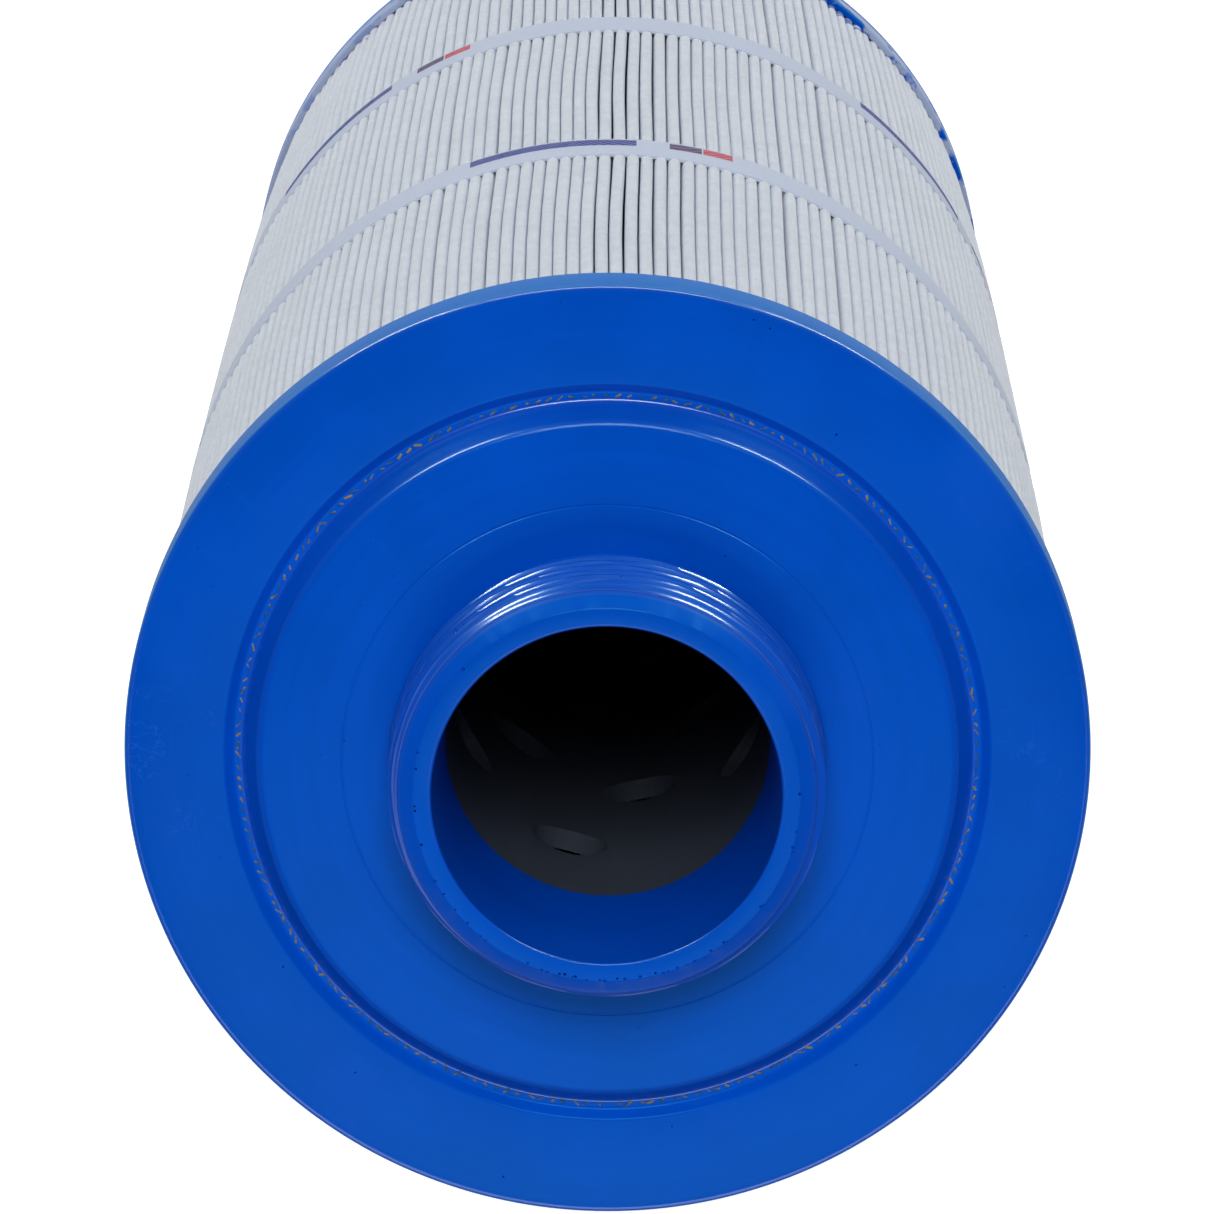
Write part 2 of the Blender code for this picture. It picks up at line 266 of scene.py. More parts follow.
bubbles = []
count, smallest, largest = RIM_BUBBLES
for _ in range(count):
    bubbles.append((rim_radius - random.uniform(0, 0.0004), random.gauss(-1.75, 0.95),
                    RIM_HEIGHT, random.uniform(smallest, largest)))
count, smallest, largest = THREAD_BUBBLES
for _ in range(count):
    bubble_height = random.uniform(THREAD_START, THREAD_END)
    bubbles.append((thread_root(bubble_height) + 0.001, random.uniform(0, math.pi),
                    bubble_height, random.uniform(smallest, largest)))
for (count, smallest, largest), near, far, level in (
        (RING_BUBBLES, GROOVE_RADIUS, CAP_RADIUS - 0.001, FACE_HEIGHT),
        (FACE_BUBBLES, 0.0315, INNER_FACE_RADIUS, inner_face)):
    for _ in range(count):
        bubbles.append((random.uniform(near, far), random.uniform(0, 6.28),
                        level, random.uniform(smallest, largest)))
open_bubbles(threaded_cap, bubbles)


class Wire:
    """A node's output in a finish. Arithmetic on it adds Math nodes."""

    def __init__(self, finish, socket):
        self.finish = finish
        self.socket = socket

    def maths(self, operation, first, second):
        return self.finish.node("ShaderNodeMath", {"operation": operation}, {0: first, 1: second})

    def __add__(self, other):
        return self.maths("ADD", self, other)

    def __mul__(self, other):
        return self.maths("MULTIPLY", self, other)

    def __sub__(self, other):
        return self.maths("SUBTRACT", self, other)

    def __rsub__(self, other):
        return self.maths("SUBTRACT", other, self)

    def __truediv__(self, other):
        return self.maths("DIVIDE", self, other)

    def __pow__(self, other):
        return self.maths("POWER", self, other)

    def __gt__(self, other):
        return self.maths("GREATER_THAN", self, other)

    def __lt__(self, other):
        return self.maths("LESS_THAN", self, other)

    __radd__ = __add__
    __rmul__ = __mul__


class Finish:
    """A Principled material for one piece, and the nodes that vary it."""

    def __init__(self, name, colour, **values):
        self.material = bpy.data.materials.new(name)
        self.material.use_nodes = True
        self.tree = self.material.node_tree
        self.shader = self.tree.nodes["Principled BSDF"]
        self.set("Base Color", (*colour, 1))
        for socket, value in values.items():
            self.set(socket.replace("_", " "), value)
        self.place = self.node("ShaderNodeTexCoord", out="Object")

    def set(self, socket, value):
        self.feed(self.shader.inputs[socket], value)

    def feed(self, socket, value):
        if isinstance(value, Wire):
            self.tree.links.new(value.socket, socket)
        else:
            socket.default_value = value

    def node(self, kind, settings=None, sockets=None, out=0):
        """Add a node with its settings, then its sockets, and return one output."""
        node = self.tree.nodes.new(kind)
        for name, value in (settings or {}).items():
            setattr(node, name, value)
        for name, value in (sockets or {}).items():
            self.feed(node.inputs[name], value)
        return Wire(self, node.outputs[out])

    def axis(self, letter):
        return self.node("ShaderNodeSeparateXYZ", None, {"Vector": self.place}, letter)

    def noise(self, scale, detail, vector=None):
        sockets = {"Vector": vector or self.place, "Scale": scale, "Detail": detail}
        return self.node("ShaderNodeTexNoise", None, sockets)

    def ramp(self, value, low, high):
        """Bring a value to 0 at low and 1 at high, smoothly and held between them."""
        sockets = {"Value": value, "From Min": low, "From Max": high}
        return self.node("ShaderNodeMapRange", {"interpolation_type": "SMOOTHSTEP"}, sockets)

    def mix(self, share, first, second):
        """Mix two colours, given as (r, g, b) or as the output of another mix."""
        first, second = [c if isinstance(c, Wire) else (*c, 1) for c in (first, second)]
        return self.node("ShaderNodeMix", {"data_type": "RGBA"}, {0: share, 6: first, 7: second}, 2)

    def bump(self, height, distance, strength):
        sockets = {"Height": height, "Distance": distance, "Strength": strength}
        self.set("Normal", self.node("ShaderNodeBump", None, sockets, "Normal"))


def cast_polyurethane(name, colour, wall_radius, polished, pitted):
    """Satin blue casting: faint mottle, turning streaks, and scuffs at two sides.

    It is glossy where the mould was polished, in rings of (low and high radius, low and
    high height, share), and dull on its outer wall, whose colour is painted paler as a
    painted reflection. Inside the bubbles of the pitted rings, given as (low and high
    radius, low and high height), it is painted dark as painted shade. It returns the
    finish and its colour, which the closed cap covers in part.
    """
    finish = Finish(name, colour, Specular_IOR_Level=0.14, Specular_Tint=(0.05, 0.85, 1.0, 1),
                    Coat_Roughness=0.17, Coat_IOR=1.55)
    across, back, height = [finish.axis(letter) for letter in "XYZ"]
    radius = (across ** 2 + back ** 2) ** 0.5
    mottle = finish.noise(60, 4)
    speck = finish.noise(2200, 2)
    streaks = finish.noise(1, 3, finish.node(
        "ShaderNodeCombineXYZ", None,
        {"X": radius * 900, "Y": height * 900, "Z": mottle * 3}))
    worn_side = (1 - finish.ramp(back ** 2, 0.00001, 0.00030)) * finish.ramp(radius, 0.0525, 0.0535)
    wander = finish.noise(310, 4) - 0.5
    hairline = 1 - finish.ramp(wander ** 2, 0.00002, 0.00030)
    scratches = hairline * finish.ramp(finish.noise(90, 2), 0.42, 0.60) * worn_side
    smudge = finish.ramp(finish.noise(34, 6), 0.56, 0.72)
    dark = tuple(part * 0.90 for part in colour)
    pale = (colour[0] + 0.015, colour[1] * 1.5, colour[2] * 1.2)
    gloss = 0.02
    for near, far, low, high, share in polished:
        gloss = gloss + (radius > near) * (radius < far) * (height > low) * (height < high) * share
    pit = 0.0
    for near, far, low, high in pitted:
        pit = pit + (radius > near) * (radius < far) * (height > low) * (height < high)
    wall = finish.ramp(radius, wall_radius - 0.0004, wall_radius - 0.0001)
    body = finish.mix(finish.ramp(mottle * 0.6 + streaks * 0.4, 0.35, 0.65), dark, colour)
    body = finish.mix(smudge * 0.14 + scratches * 0.35, body, pale)
    # Painted reflection: the outer wall is painted paler and more cyan, for the white it reflects at a
    # grazing angle.
    body = finish.mix(wall * (0.55 + mottle * 0.5), body, WALL_REFLECTION_BLUE)
    # Painted shade: the insides of the bubbles are painted near black, as the shade that falls in
    # them.
    body = finish.mix(pit, body, PIT_SHADE_BLUE)
    finish.set("Base Color", body)
    finish.set("Roughness", 0.28 + mottle * 0.10 + smudge * 0.10 + scratches * 0.15 + wall * 0.35)
    finish.set("Coat Weight", gloss)
    finish.bump(mottle * 0.5 + streaks * 0.10 + speck * 0.05 - scratches * 0.25, 0.00016, 0.55)
    return finish, body


threaded_finish, _ = cast_polyurethane("threaded_cap_cast", THREADED_BLUE, CAP_RADIUS, [
    (rim_radius + 0.0005, THREAD_RADIUS + 0.0008, inner_face + 0.0002, RIM_HEIGHT - 0.0012, 0.5),
    (BORE_RADIUS - 0.0002, BORE_RADIUS + 0.0004, RIM_HEIGHT - 0.0006, RIM_HEIGHT + 0.0001, 0.25),
    (GROOVE_FLOOR[0] - 0.0005, GROOVE_FLOOR[0] + 0.0003, FACE_HEIGHT - 0.002, FACE_HEIGHT, 1.0),
    (INNER_FACE_RADIUS - 0.0004, INNER_FACE_RADIUS + 0.0004, FACE_HEIGHT, inner_face + 0.0001, 0.2),
    (CAP_RADIUS - 0.0007, CAP_RADIUS, FACE_HEIGHT - 0.0004, FACE_HEIGHT + 0.0001, 0.6),
], [
    (BORE_RADIUS + 0.0005, rim_radius - 0.0002, RIM_HEIGHT - 0.0010, RIM_HEIGHT - 0.00008),
    (GROOVE_RADIUS + 0.0006, CAP_RADIUS - 0.0008, FACE_HEIGHT - 0.0010, FACE_HEIGHT - 0.00006),
    (0.0312, INNER_FACE_RADIUS - 0.0010, inner_face - 0.0010, inner_face - 0.00009),
])
threaded_cap.data.materials.append(threaded_finish.material)
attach(threaded_cap, "root")
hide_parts("threaded_end_cap")


# ---- Closed end cap ----------------------------------------------------------
# The other end is cast in the same way, with a thinner wall and no spigot. Its middle is
# set back, so the cartridge stands on the ring. Its upper edge is thin and spotted, and
# painted pale as a painted highlight.

CLOSED_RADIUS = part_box("closed_end_cap")[1].x
CLOSED_RECESS = 0.0010
CLOSED_SEAT = 0.0040
CLOSED_BLUE = (0.0, 0.072, 0.53)
EDGE_HIGHLIGHT_BLUE = (0.36, 0.42, 0.60)

closed_cap = turned("closed_cap", soften([
    (SOCKET_RADIUS, CLOSED_SEAT, 0),
    (SOCKET_RADIUS, COLLAR_DEPTH, 0.0003),
    (COLLAR_RADIUS, COLLAR_DEPTH, 0.0003),
    (COLLAR_RADIUS, TROUGH_DEPTH, 0),
    (SKIRT_RADIUS, TROUGH_DEPTH, 0),
    (SKIRT_RADIUS - 0.0004, CAP_WALL_HEIGHT, 0.0001),
    (CLOSED_RADIUS, CAP_WALL_HEIGHT, 0.0005),
    (CLOSED_RADIUS, 0.0, 0.0005),
    (GROOVE_RADIUS, 0.0, 0.00025),
    (GROOVE_FLOOR[1], GROOVE_DEPTH, 0.0003),
    (GROOVE_FLOOR[0], GROOVE_DEPTH, 0.0003),
    (INNER_FACE_RADIUS, CLOSED_RECESS, 0.0002),
    (WITNESS_RADIUS, CLOSED_RECESS, 0),
]), CAP_SIDES, round_trip=False)
closed_finish, closed_body = cast_polyurethane("closed_cap_cast", CLOSED_BLUE, CLOSED_RADIUS, [
    (INNER_FACE_RADIUS - 0.0004, GROOVE_FLOOR[0] + 0.0002, -0.0001, GROOVE_DEPTH, 0.5),
    (CLOSED_RADIUS - 0.0007, CLOSED_RADIUS, -0.0001, 0.0004, 1.0),
], [])
# Painted highlight: the wall's upper part is painted pale, broken by wicked spots, fewer towards -X.
lip_side = closed_finish.ramp(closed_finish.axis("X"), -0.02, 0.03)
lip_spots = closed_finish.ramp(closed_finish.noise(190, 3), 0.50, 0.58) * (0.3 + lip_side * 0.7)
edge_highlight = closed_finish.ramp(closed_finish.axis("Z"), 0.0012, 0.0040) * (1 - lip_spots)
closed_finish.set("Base Color", closed_finish.mix(edge_highlight, closed_body, EDGE_HIGHLIGHT_BLUE))
closed_cap.data.materials.append(closed_finish.material)
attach(closed_cap, "root")
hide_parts("closed_end_cap")


# ---- Pleated media -----------------------------------------------------------
# One long sheet of spunbonded polyester, folded into pleats and rolled round the core.
# The caps and the bands hold its tips, and between them the tips lean and spread.

MEDIA_LOW, MEDIA_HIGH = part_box("pleated_media")
BAND_MIDDLES = [sum(corner.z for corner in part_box(band)) / 2 for band in ("rear_band", "front_band")]
PLACES = 204
PLACE_ANGLE = 2 * math.pi / PLACES
SEAM_ANGLE = -math.pi / 2
SHEET = 0.00036
TIP_RADIUS_AT_CAP = MEDIA_HIGH.x - SHEET / 2
TIP_RADIUS_AT_BAND = TIP_RADIUS_AT_CAP + 0.00050
TIP_RADIUS_BESIDE_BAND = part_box("front_band")[1].x - SHEET / 2
TIP_BULGES = (0.00035, 0.00005, 0.00035)
FOLD_RADIUS = COLLAR_RADIUS + 0.0003 + SHEET / 2
SPAN_ROWS = (0.0, 0.064, 0.20, 0.40, 0.60, 0.80, 0.936)
CLOSEST_TIPS = 0.97            # this and the gaps between tips are shares of a place
TIGHT_GAP = -0.04
OPEN_GAP = (0.03, 0.13)
OPEN_SHARE = 0.26
WIDE_GAP = (0.15, 0.34)
WIDE_SHARE = 0.05
LOOSE_GAP = (0.07, 0.17)
LOOSE_PLACES = range(96, 103)
DRIFT_KEPT = 0.90              # share of its lean that a tip passes on to the next
TIP_SHAPE = (
    (-6.0, -0.58), (-0.80, -0.75), (-0.28, -0.66), (-0.06, -0.40), (0, 0),
    (-0.06, 0.40), (-0.28, 0.66), (-0.80, 0.75), (-6.0, 0.58))
FOLD_SHAPE = ((0.40, -0.17), (0.40, 0.17))
MILLIMETRE = 0.001
SHEET_CREASE = 60
MEDIA_WHITE = (0.59, 0.665, 0.80)
FOLD_SHADE_GREY = (0.17, 0.19, 0.23)
SOAKED_BLUE = (0.05, 0.12, 0.37)

random.seed(11)
spans = [MEDIA_LOW.z, *BAND_MIDDLES, MEDIA_HIGH.z]
row_heights = []
for low, high in zip(spans, spans[1:]):
    row_heights += [low + (high - low) * share for share in SPAN_ROWS]
row_heights.append(spans[-1])
stations = []
for low, high in zip(spans, spans[1:]):
    stations += [low, (low + high) / 2]
stations.append(spans[-1])


def held_apart(drifts):
    """Move on any tip that would press into the one before it."""
    for place in range(1, PLACES):
        drifts[place] = max(drifts[place], drifts[place - 1] - (1 - CLOSEST_TIPS))
    return drifts


base_drift = [0.0]
for place in range(1, PLACES):
    opened = random.random()
    gap = TIGHT_GAP
    if opened > 1 - OPEN_SHARE:
        gap = random.uniform(*OPEN_GAP)
    if opened > 1 - WIDE_SHARE:
        gap = random.uniform(*WIDE_GAP)
    if place in LOOSE_PLACES:
        gap = random.uniform(*LOOSE_GAP)
    base_drift.append(DRIFT_KEPT * base_drift[-1] + gap)
drift_middle = sum(base_drift) / PLACES
drifts = []
for index in range(len(stations)):
    share = 1.0 if index % 2 else 0.72
    drifts.append(held_apart([
        (drift - drift_middle) * share + random.uniform(-0.04, 0.04) for drift in base_drift]))
lifts = [[random.uniform(-0.12, 0.06) * MILLIMETRE for _ in range(PLACES)] for _ in stations]
widths = [random.uniform(0.975, 1.02) for _ in range(PLACES)]


def between(values, height, place):
    """Read a value of one pleat at a height, eased between the stations."""
    for index, (low, high) in enumerate(zip(stations, stations[1:])):
        if height <= high or index == len(stations) - 2:
            share = min(1.0, max(0.0, (height - low) / (high - low)))
            share = share * share * (3 - 2 * share)
            return values[index][place] * (1 - share) + values[index + 1][place] * share


def tip_radius(height):
    """Radius of the tips: lowest in the caps, pulled in under the bands, full between them."""
    if min(abs(height - middle) for middle in BAND_MIDDLES) < 0.001:
        return TIP_RADIUS_AT_BAND
    for index, (low, high) in enumerate(zip(spans, spans[1:])):
        if height <= high or index == len(spans) - 2:
            share = (height - low) / (high - low)
            starts = TIP_RADIUS_AT_CAP if index == 0 else TIP_RADIUS_BESIDE_BAND
            ends = TIP_RADIUS_AT_CAP if index == len(spans) - 2 else TIP_RADIUS_BESIDE_BAND
            return starts + (ends - starts) * share + TIP_BULGES[index] * math.sin(math.pi * share)


section = [("fold", 0, *FOLD_SHAPE[1])]
for place in range(1, PLACES):
    section += [("tip", place, rise, shift) for rise, shift in TIP_SHAPE]
    section += [("fold", place, rise, shift) for rise, shift in FOLD_SHAPE]
section.pop()

bpy.ops.mesh.primitive_grid_add(
    x_subdivisions=len(section) - 1, y_subdivisions=len(row_heights) - 1, size=1)
media = bpy.context.object
media.name = "pleated_sheet"
for vert in media.data.vertices:
    kind, place, rise, shift = section[round((vert.co.x + 0.5) * (len(section) - 1))]
    height = row_heights[round((vert.co.y + 0.5) * (len(row_heights) - 1))]
    angle = SEAM_ANGLE + place * PLACE_ANGLE
    if kind == "tip":
        radius = tip_radius(height) + between(lifts, height, place) + rise * MILLIMETRE
        angle += between(drifts, height, place) * PLACE_ANGLE
        angle += shift * MILLIMETRE * widths[place] / radius
    else:
        radius = FOLD_RADIUS + rise * MILLIMETRE
        angle += PLACE_ANGLE / 2 + shift * MILLIMETRE / radius
    vert.co = (radius * math.cos(angle), radius * math.sin(angle), height)

bpy.ops.object.mode_set(mode="EDIT")
finish_edit(SHEET_CREASE)


def thicken(piece, thickness):
    """Give a sheet its thickness, half to each side."""
    wall = piece.modifiers.new("thickness", "SOLIDIFY")
    wall.thickness = thickness
    wall.offset = 0
    bpy.ops.object.modifier_apply(modifier="thickness")
    bpy.ops.object.shade_smooth_by_angle(angle=math.radians(SHEET_CREASE))


thicken(media, SHEET)


def spunbond(name, colour):
    """Bonded polyester: fine random fibres, painted shade in the inner folds, blue soaked up at caps.
    """
    finish = Finish(name, colour, Specular_IOR_Level=0.18, Sheen_Weight=0.08,
                    Subsurface_Weight=0.8, Subsurface_Radius=(1, 1, 1), Subsurface_Scale=0.003)
    fibres = finish.noise(2600, 4)
    clumps = finish.noise(420, 3)
    cloud = finish.noise(70, 2)
    shade = fibres * 0.4 + clumps * 0.4 + cloud * 0.2
    dark = tuple(part * 0.86 for part in colour)
    body = finish.mix(finish.ramp(shade, 0.35, 0.65), dark, colour)
    across, back, height = [finish.axis(letter) for letter in "XYZ"]
    # Painted shade: the inner folds, seen only through the core's holes, are painted grey as shade.
    inmost_shade = 1 - finish.ramp((across ** 2 + back ** 2) ** 0.5, FOLD_RADIUS, FOLD_RADIUS + 0.004)
    body = finish.mix(inmost_shade, body, FOLD_SHADE_GREY)
    wick = finish.ramp(finish.noise(150, 3), 0.50, 0.66) * 0.006
    low_soak = 1 - finish.ramp(height - wick, CAP_WALL_HEIGHT - 0.001, CAP_WALL_HEIGHT + 0.001)
    high_soak = finish.ramp(height + wick * 0.1, wall_end - 0.0005, wall_end + 0.0005)
    finish.set("Base Color", finish.mix(low_soak + high_soak, body, SOAKED_BLUE))
    finish.set("Roughness", 0.40 + fibres * 0.45)
    finish.bump(fibres * 0.5 + clumps * 0.8, 0.00012, 0.6)
    return finish.material


media.data.materials.append(spunbond("media_spunbond", MEDIA_WHITE))
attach(media, "root")
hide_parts("pleated_media")


# ---- Pleat ends in the grooves -----------------------------------------------
# The mould's ring holds the pleats off the mould's floor, so the cut ends of the sheet
# show through the casting as short slanting strokes along the groove.

END_RADIUS = (GROOVE_FLOOR[0] + GROOVE_FLOOR[1]) / 2
END_SIZE = (0.00120, 0.00030, 0.00024)
END_SLANTS = (-0.5, 0.5)
END_BROWN = (0.20, 0.16, 0.10)
END_BLUE = (0.0, 0.06, 0.16)

bpy.ops.object.select_all(action="DESELECT")
bpy.ops.mesh.primitive_cube_add(size=1)
stroke = bpy.context.object
stroke.scale = END_SIZE
bpy.ops.object.transform_apply(scale=True)
bpy.ops.object.mode_set(mode="EDIT")
bpy.ops.mesh.bevel(offset=0.00009, segments=2, affect="EDGES")
bpy.ops.object.mode_set(mode="OBJECT")
bpy.ops.object.shade_smooth()


def show_pleat_ends(name, height):
    """Copy the stroke once for each pleat, all round a groove's floor."""
    bpy.ops.object.select_all(action="DESELECT")
    copies = []
    for place in range(1, PLACES):
        angle = SEAM_ANGLE + (place + random.uniform(-0.2, 0.2)) * PLACE_ANGLE
        copy = bpy.data.objects.new(name, stroke.data.copy())
        copy.location = (END_RADIUS * math.cos(angle), END_RADIUS * math.sin(angle), height)
        slant = random.choice(END_SLANTS) + random.uniform(-0.3, 0.3)
        copy.rotation_euler.z = angle + math.pi / 2 + slant
        copy.scale = (random.uniform(0.5, 1.05), random.uniform(0.6, 1.3), random.uniform(0.7, 1.1))
        bpy.context.scene.collection.objects.link(copy)
        copy.select_set(True)
        copies.append(copy)
    bpy.context.view_layer.objects.active = copies[0]
    bpy.ops.object.join()
    bpy.ops.object.transform_apply(location=True, rotation=True, scale=True)
    piece = bpy.context.object
    piece.name = name
    finish = Finish(name + "_finish", END_BROWN, Roughness=0.6)
    stain = finish.ramp(finish.noise(520, 2), 0.40, 0.58)
    finish.set("Base Color", finish.mix(stain, END_BROWN, END_BLUE))
    piece.data.materials.append(finish.material)
    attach(piece, "root")


show_pleat_ends("pleat_ends_top", FACE_HEIGHT - GROOVE_DEPTH)
show_pleat_ends("pleat_ends_bottom", GROOVE_DEPTH)
bpy.data.objects.remove(stroke)


# ---- Seam bead ---------------------------------------------------------------
# The sheet's two ends meet at one side of the cartridge, and a bead of hot-melt glue
# fills the gap between them from cap to cap.

BEAD_LOW, BEAD_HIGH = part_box("media_seam_bead")
BEAD_INNER_HALF = 0.00014
BEAD_OUTER_HALF = 0.00066
BEAD_CROWN = 0.0016
BEAD_LUMP = 0.00008
BEAD_ROWS = 90
GLUE_STRAW = (0.56, 0.52, 0.40)
GLUE_PALE = (0.74, 0.71, 0.60)

bpy.ops.object.select_all(action="DESELECT")
bpy.ops.mesh.primitive_grid_add(x_subdivisions=8, y_subdivisions=BEAD_ROWS, size=1)
bead = bpy.context.object
bead.name = "seam_glue_bead"
random.seed(5)
lumps = [random.uniform(-1, 1) for _ in range(BEAD_ROWS + 1)]
bead_outer_radius = -BEAD_LOW.y
for vert in bead.data.vertices:
    across = vert.co.x * 2
    row = (vert.co.y + 0.5) * BEAD_ROWS
    share = abs(across)
    radius = bead_outer_radius - share ** 4 * BEAD_CROWN + lumps[round(row)] * BEAD_LUMP
    half = BEAD_OUTER_HALF * (1 + lumps[round(row)] * 0.12)
    height = BEAD_LOW.z + (BEAD_HIGH.z - BEAD_LOW.z) * row / BEAD_ROWS
    vert.co = (half * across, -radius, height)
bpy.ops.object.mode_set(mode="EDIT")
bpy.ops.mesh.select_all(action="SELECT")
bpy.ops.mesh.extrude_region_move(
    TRANSFORM_OT_translate={"value": (0, BEAD_HIGH.y - BEAD_LOW.y, 0)})
narrowing = BEAD_INNER_HALF / BEAD_OUTER_HALF
bpy.ops.transform.resize(value=(narrowing, 1, 1), center_override=(0, 0, 0))
finish_edit(crease=50)

glue_finish = Finish("hot_melt", GLUE_PALE, Roughness=0.32, Specular_IOR_Level=0.5)
glue_cloud = glue_finish.noise(300, 3)
glue_finish.set("Base Color", glue_finish.mix(glue_cloud, GLUE_STRAW, GLUE_PALE))
glue_finish.bump(glue_cloud, 0.0002, 0.5)
bead.data.materials.append(glue_finish.material)
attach(bead, "root")
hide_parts("media_seam_bead")


# ---- Core tube ---------------------------------------------------------------
# A black moulded tube that keeps the pleats from folding in. Filtered water enters it
# through round holes, three to a ring, each ring turned on from the last.

CORE_RADIUS = CORE_BOX[1].x
CORE_INNER_RADIUS = BORE_END_RADIUS + 0.0004
HOLE_RADIUS = 0.0055
HOLES_PER_RING = 3
FIRST_RING_DEPTH = 0.0323
RING_PITCH = 0.0133
FIRST_HOLE_ANGLE = math.radians(-104.6)
RING_TWIST = math.radians(-47)
DRILL_LENGTH = 0.009
CORE_BLACK = (0.034, 0.042, 0.060)
CORE_GREY = (0.054, 0.066, 0.090)

bpy.ops.object.select_all(action="DESELECT")
core = turned("core", soften([
    (CORE_INNER_RADIUS, CORE_BOX[0].z, 0.0003),
    (CORE_RADIUS, CORE_BOX[0].z, 0.0004),
    (CORE_RADIUS, CORE_BOX[1].z, 0.0004),
    (CORE_INNER_RADIUS, CORE_BOX[1].z, 0.0003),
]), 96)

bpy.ops.object.select_all(action="DESELECT")
ring_count = 1 + int((FACE_HEIGHT - 2 * FIRST_RING_DEPTH) / RING_PITCH)
drill_place = (CORE_INNER_RADIUS + CORE_RADIUS) / 2
drills = []
for ring in range(ring_count):
    for hole in range(HOLES_PER_RING):
        angle = FIRST_HOLE_ANGLE + ring * RING_TWIST + hole * 2 * math.pi / HOLES_PER_RING
        spot = (drill_place * math.cos(angle), drill_place * math.sin(angle),
                FACE_HEIGHT - FIRST_RING_DEPTH - ring * RING_PITCH)
        bpy.ops.mesh.primitive_cylinder_add(
            vertices=36, radius=HOLE_RADIUS, depth=DRILL_LENGTH,
            location=spot, rotation=(0, math.pi / 2, angle))
        drills.append(bpy.context.object)
for drill in drills:
    drill.select_set(True)
bpy.ops.object.join()
drill_set = bpy.context.object
bpy.ops.object.select_all(action="DESELECT")
bpy.context.view_layer.objects.active = core
cut = core.modifiers.new("holes", "BOOLEAN")
cut.object = drill_set
bpy.ops.object.modifier_apply(modifier="holes")
bpy.data.objects.remove(drill_set)
core.select_set(True)
bpy.ops.object.shade_smooth_by_angle(angle=math.radians(CREASE))

core_finish = Finish("core_moulding", CORE_BLACK, Specular_IOR_Level=0.4)
core_grain = core_finish.noise(1400, 3)
core_finish.set("Base Color", core_finish.mix(core_grain, CORE_BLACK, CORE_GREY))
core_finish.set("Roughness", 0.30 + core_grain * 0.2)
core_finish.bump(core_grain, 0.0001, 0.3)
core.data.materials.append(core_finish.material)
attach(core, "root")
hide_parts("core_tube")


# ---- Bands -------------------------------------------------------------------
# Two pale straps go once round the tips and lap over their own start. They are printed
# with plain coloured bars along their lower half.

STRAP_STEPS = 420
STRAP_WIDTH_STEPS = 10
STRAP_THICKNESS = 0.0004
LAP_START = math.radians(205)
LAP_ANGLE = math.radians(17)
LAP_RAMP = math.radians(5)
LAP_RISE = 0.00044
STRAP_EDGE_DROP = 0.00005
STRAP_WAVES = 24
WAVE_OUT = 0.00001
WAVE_UP = 0.00002
STRAP_DARK = (0.46, 0.52, 0.64)
STRAP_PALE = (0.56, 0.62, 0.74)
PRINT_REPEAT = math.radians(95)
PRINT_ROWS = (-0.0050, -0.0008)         # heights of the print, from the strap's middle
PRINT_SLANT = 0.9
PRINT_STROKE = 0.88                     # share of the bar pitch that is inked
PRINT_BARS = (                          # start and end in degrees, bar pitch, and the ink
    (0.0, 22.3, 1.25, (0.020, 0.032, 0.24)),
    (26.7, 31.0, 1.05, (0.07, 0.02, 0.10)),
    (31.2, 35.2, 1.05, (0.50, 0.05, 0.07)),
)


def strap_material(name, print_start, middle):
    """Pale spunbonded strap, printed with bars that repeat round it."""
    finish = Finish(name, STRAP_PALE, Roughness=0.8, Specular_IOR_Level=0.06)
    fibres = finish.noise(2300, 3)
    turn = finish.node(
        "ShaderNodeMath", {"operation": "ARCTAN2"}, {0: finish.axis("X"), 1: finish.axis("Y")})
    along = finish.node(
        "ShaderNodeMath", {"operation": "WRAP"}, {0: turn - print_start, 1: PRINT_REPEAT, 2: 0.0})
    above = finish.axis("Z") - middle
    rows = (above > PRINT_ROWS[0]) * (above < PRINT_ROWS[1])
    ink_cover = rows * (0.84 + finish.noise(700, 3) * 0.2)
    body = finish.mix(fibres, STRAP_DARK, STRAP_PALE)
    for start, end, pitch, ink in PRINT_BARS:
        inside = (along > math.radians(start)) * (along < math.radians(end))
        slanted = (along * (180 / math.pi) + above * (PRINT_SLANT * 1000)) / pitch
        stroke_share = finish.node("ShaderNodeMath", {"operation": "FRACT"}, {0: slanted})
        body = finish.mix(inside * ink_cover * (stroke_share < PRINT_STROKE), body, ink)
    finish.set("Base Color", body)
    finish.bump(fibres, 0.00008, 0.5)
    return finish.material


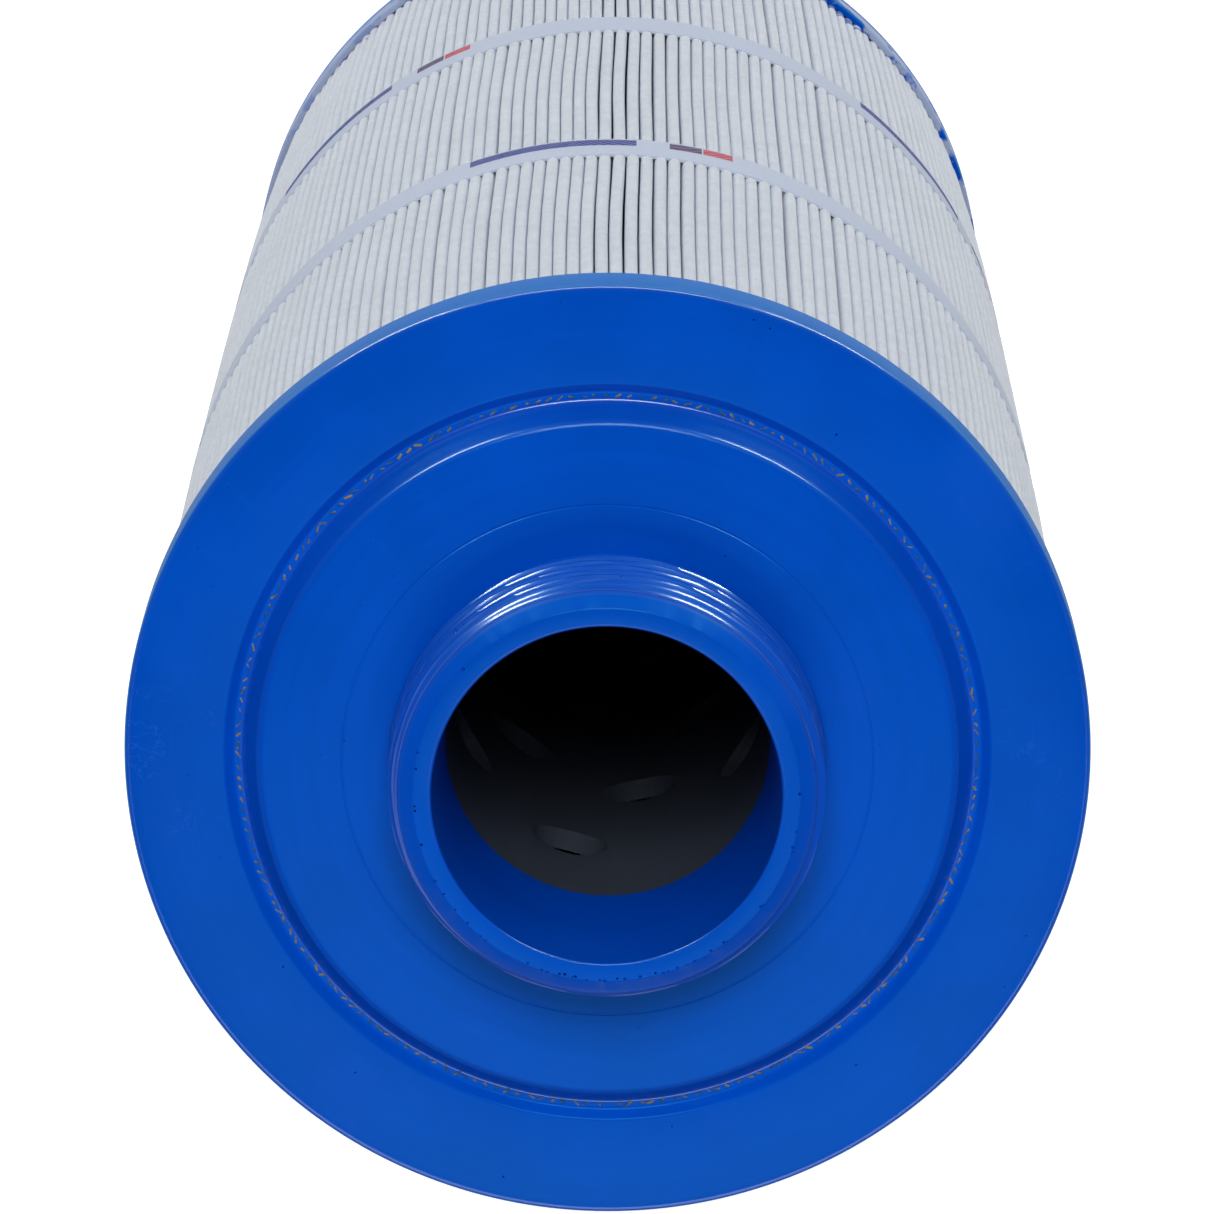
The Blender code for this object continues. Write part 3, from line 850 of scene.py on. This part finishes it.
def wrap_strap(name, node, print_start):
    """Wrap a flat strap once round the tips, with its end lapped over its start."""
    low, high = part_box(node)
    radius = high.x - STRAP_THICKNESS / 2
    bpy.ops.object.select_all(action="DESELECT")
    bpy.ops.mesh.primitive_grid_add(
        x_subdivisions=STRAP_STEPS, y_subdivisions=STRAP_WIDTH_STEPS, size=1)
    strap = bpy.context.object
    strap.name = name
    waves = [random.uniform(-1, 1) for _ in range(STRAP_WAVES)]
    for vert in strap.data.vertices:
        turned_by = (vert.co.x + 0.5) * (2 * math.pi + LAP_ANGLE)
        lap = (turned_by - 2 * math.pi + LAP_RAMP) / LAP_RAMP
        lap = min(1.0, max(0.0, lap))
        angle = LAP_START + turned_by
        sway = sum(size * math.sin((index + 2) * angle) for index, size in enumerate(waves))
        edge = abs(vert.co.y) * 2
        risen = lap * lap * (3 - 2 * lap) * LAP_RISE
        out = radius + risen - edge ** 6 * STRAP_EDGE_DROP + sway * WAVE_OUT
        height = (low.z + high.z) / 2 + vert.co.y * (high.z - low.z) + sway * WAVE_UP
        vert.co = (out * math.cos(angle), out * math.sin(angle), height)
    bpy.ops.object.mode_set(mode="EDIT")
    finish_edit()
    thicken(strap, STRAP_THICKNESS)
    strap.data.materials.append(strap_material(name + "_finish", print_start, (low.z + high.z) / 2))
    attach(strap, "root")
    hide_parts(node)


wrap_strap("front_strap", "front_band", math.radians(-18.9))
wrap_strap("rear_strap", "rear_band", math.radians(-56.5))


# ---- Band glue ---------------------------------------------------------------
# Under each strap a ring of hot-melt glue is pressed flat on to the tips. Its edges run
# unevenly, a few millimetres inside the strap's edges.

GLUE_SIDES = 204
GLUE_BELOW = 0.00025             # how far it reaches in and out from its own box's face
GLUE_ABOVE = 0.0002
GLUE_WANDER = (-0.0009, 0.0012)


def spread_glue(name, node):
    """Turn a flat ring of glue and let its two edges wander."""
    low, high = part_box(node)
    inner = high.x - GLUE_BELOW
    outer = high.x + GLUE_ABOVE
    bpy.ops.object.select_all(action="DESELECT")
    ring = turned(name, soften([
        (inner, low.z, 0),
        (outer, low.z, 0.0001),
        (outer, high.z, 0.0001),
        (inner, high.z, 0),
    ]), GLUE_SIDES)
    middle = (low.z + high.z) / 2
    wander = [random.uniform(*GLUE_WANDER) for _ in range(GLUE_SIDES)]
    for vert in ring.data.vertices:
        side = round(math.atan2(vert.co.y, vert.co.x) / (2 * math.pi) * GLUE_SIDES) % GLUE_SIDES
        vert.co.z += math.copysign(wander[side], vert.co.z - middle)
    ring.data.materials.append(glue_finish.material)
    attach(ring, "root")
    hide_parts(node)


spread_glue("front_glue", "front_band_glue")
spread_glue("rear_glue", "rear_band_glue")


# ---- Floor and light ---------------------------------------------------------
# A white bench top that glows like a light table, and four soft boxes: a key above the
# cap's +Y side, a weak fill on the other side, and two low strips that glint in the thread.

bpy.ops.object.select_all(action="DESELECT")
bpy.ops.mesh.primitive_plane_add(size=12)
floor = bpy.context.object
floor.name = "floor"
floor_finish = Finish("floor_finish", (0.45, 0.45, 0.45), Roughness=0.9)
floor_finish.set("Emission Color", (1, 1, 1, 1))
floor_finish.set("Emission Strength", 0.86)
floor.data.materials.append(floor_finish.material)

world = bpy.data.worlds.new("studio")
world.use_nodes = True
world.node_tree.nodes["Background"].inputs["Color"].default_value = (0.95, 0.97, 1.0, 1)
world.node_tree.nodes["Background"].inputs["Strength"].default_value = 0.12
bpy.context.scene.world = world
bpy.context.scene.view_settings.view_transform = "Standard"


def soft_box(name, place, width, depth, power, glint=False):
    """Add an oblong area light that faces the spigot, with its width level.

    One that only glints shows in glossy surfaces and lights nothing else.
    """
    light = bpy.data.lights.new(name, "AREA")
    light.shape = "RECTANGLE"
    light.size = width
    light.size_y = depth
    light.energy = power
    box = bpy.data.objects.new(name, light)
    box.location = (place[0], place[1], FACE_HEIGHT + place[2])
    box.rotation_euler = Vector(place).to_track_quat("Z", "Y").to_euler()
    box.visible_diffuse = not glint
    bpy.context.scene.collection.objects.link(box)


soft_box("strip_left", (-0.68, 1.05, 0.36), 0.42, 0.20, 20.0, glint=True)
soft_box("strip_right", (0.68, 1.05, 0.36), 0.42, 0.20, 20.0, glint=True)
soft_box("key", (0.0, 1.05, 1.55), 0.8, 0.8, 24)
soft_box("fill", (0.0, -0.50, 0.85), 0.5, 0.5, 2.7)
